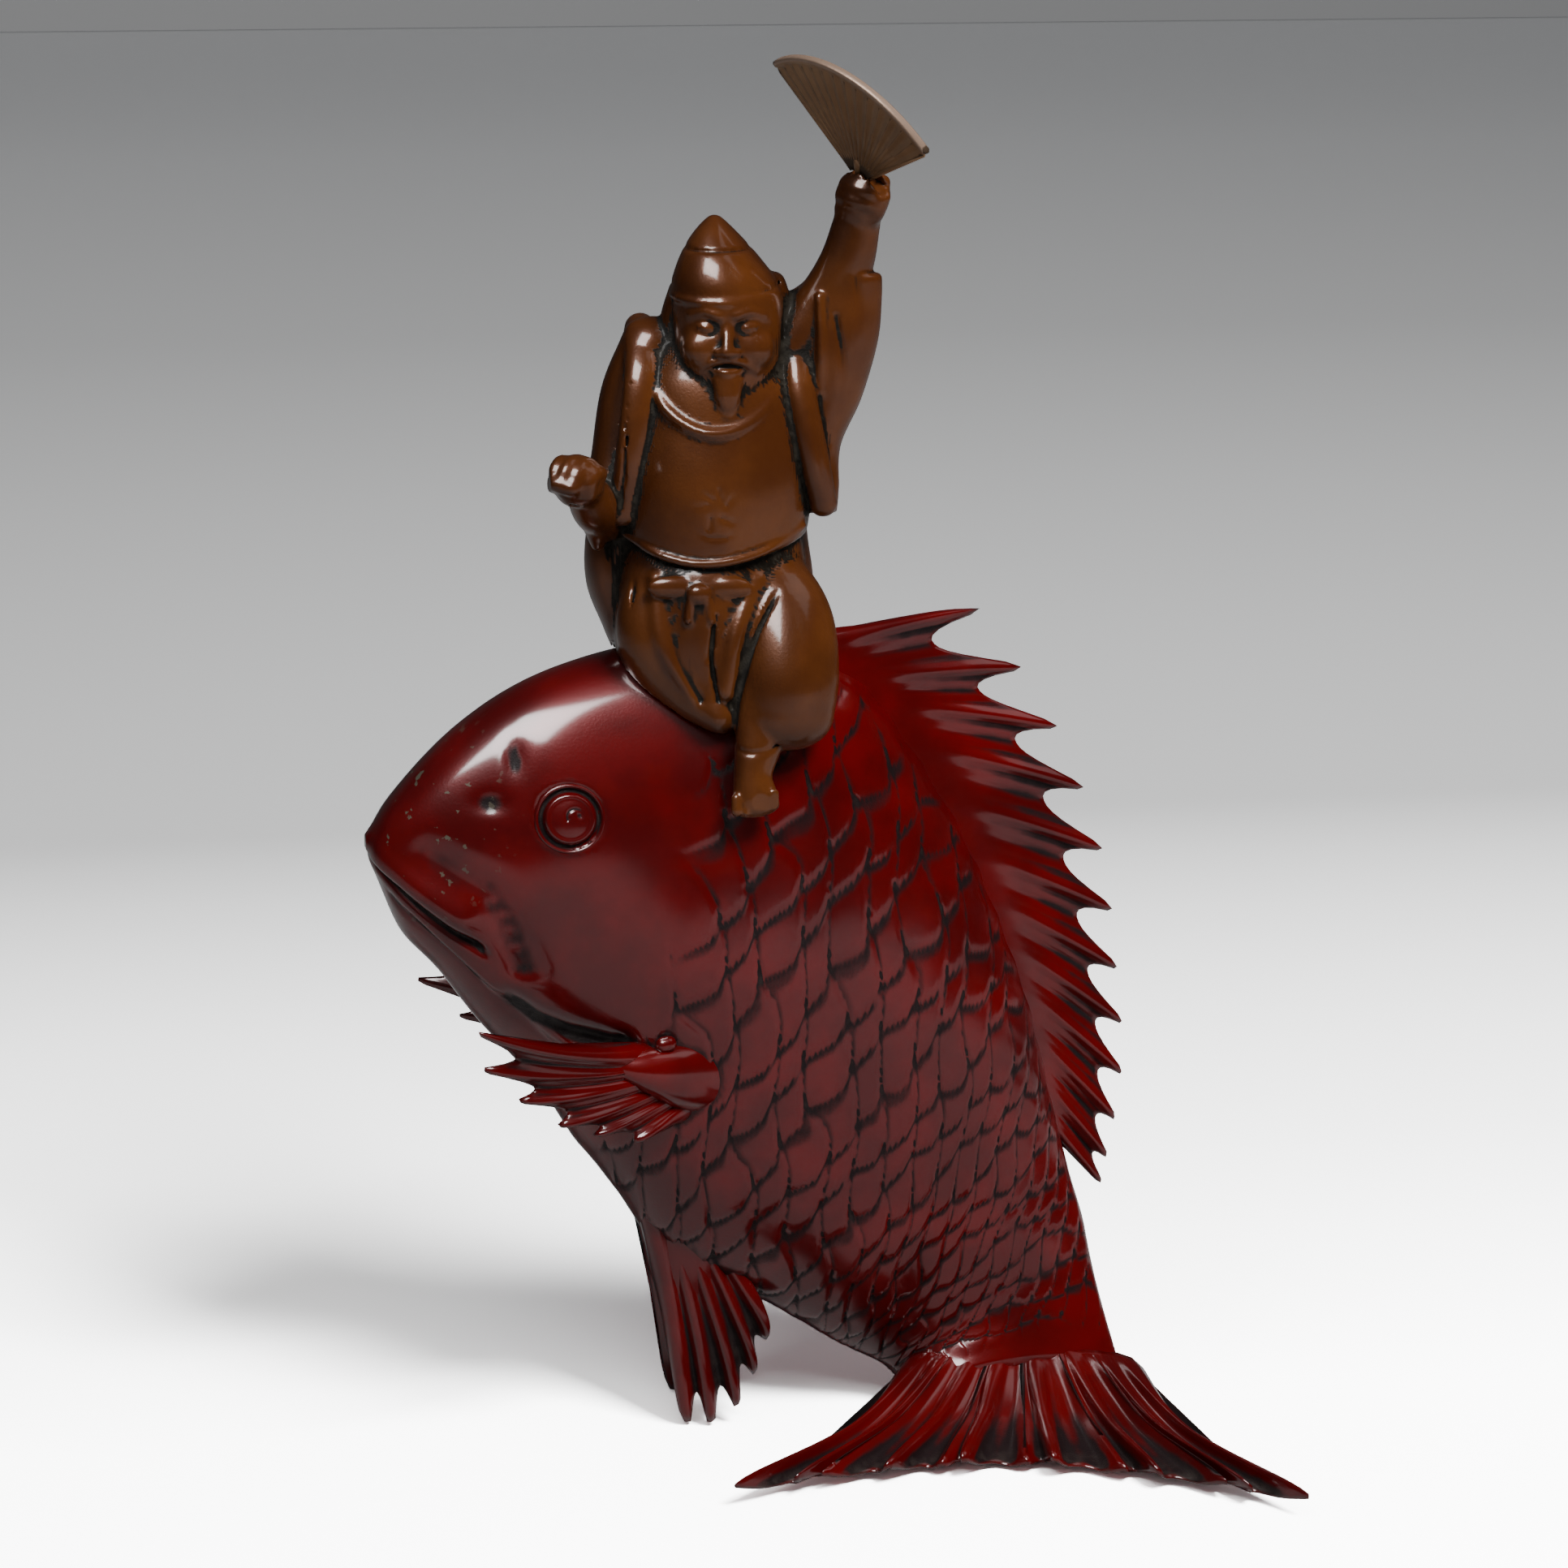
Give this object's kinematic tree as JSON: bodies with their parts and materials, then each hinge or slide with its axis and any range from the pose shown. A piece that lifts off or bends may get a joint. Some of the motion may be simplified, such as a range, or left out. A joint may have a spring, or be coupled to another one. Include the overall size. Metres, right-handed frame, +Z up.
{
  "type": "ebisu figure on a red sea bream",
  "caption": "Cast ornament of a seated robed figure with an open fan, riding a scaled sea bream that stands on its lower fins and spread tail.",
  "frame": {"origin": "middle of the footprint of the bounding box, on the ground under the fins and tail", "axes": "+Z up, the fish's head and the rider's right hand side towards -X, the front that the rider faces towards -Y"},
  "size_m": [0.1876, 0.1318, 0.3011],
  "materials": {
    "red_lacquer": "glossy crimson lacquer over dark cast bronze, nearly black in the recesses",
    "brown_lacquer": "glossy amber brown lacquer over cast bronze, dark grey in the recesses",
    "gold_brown": "satin golden brown with a paler worn rim"
  },
  "bodies": {
    "root": {"fish": "red_lacquer", "ebisu": "brown_lacquer", "fan": "gold_brown"}
  },
  "joints": []
}
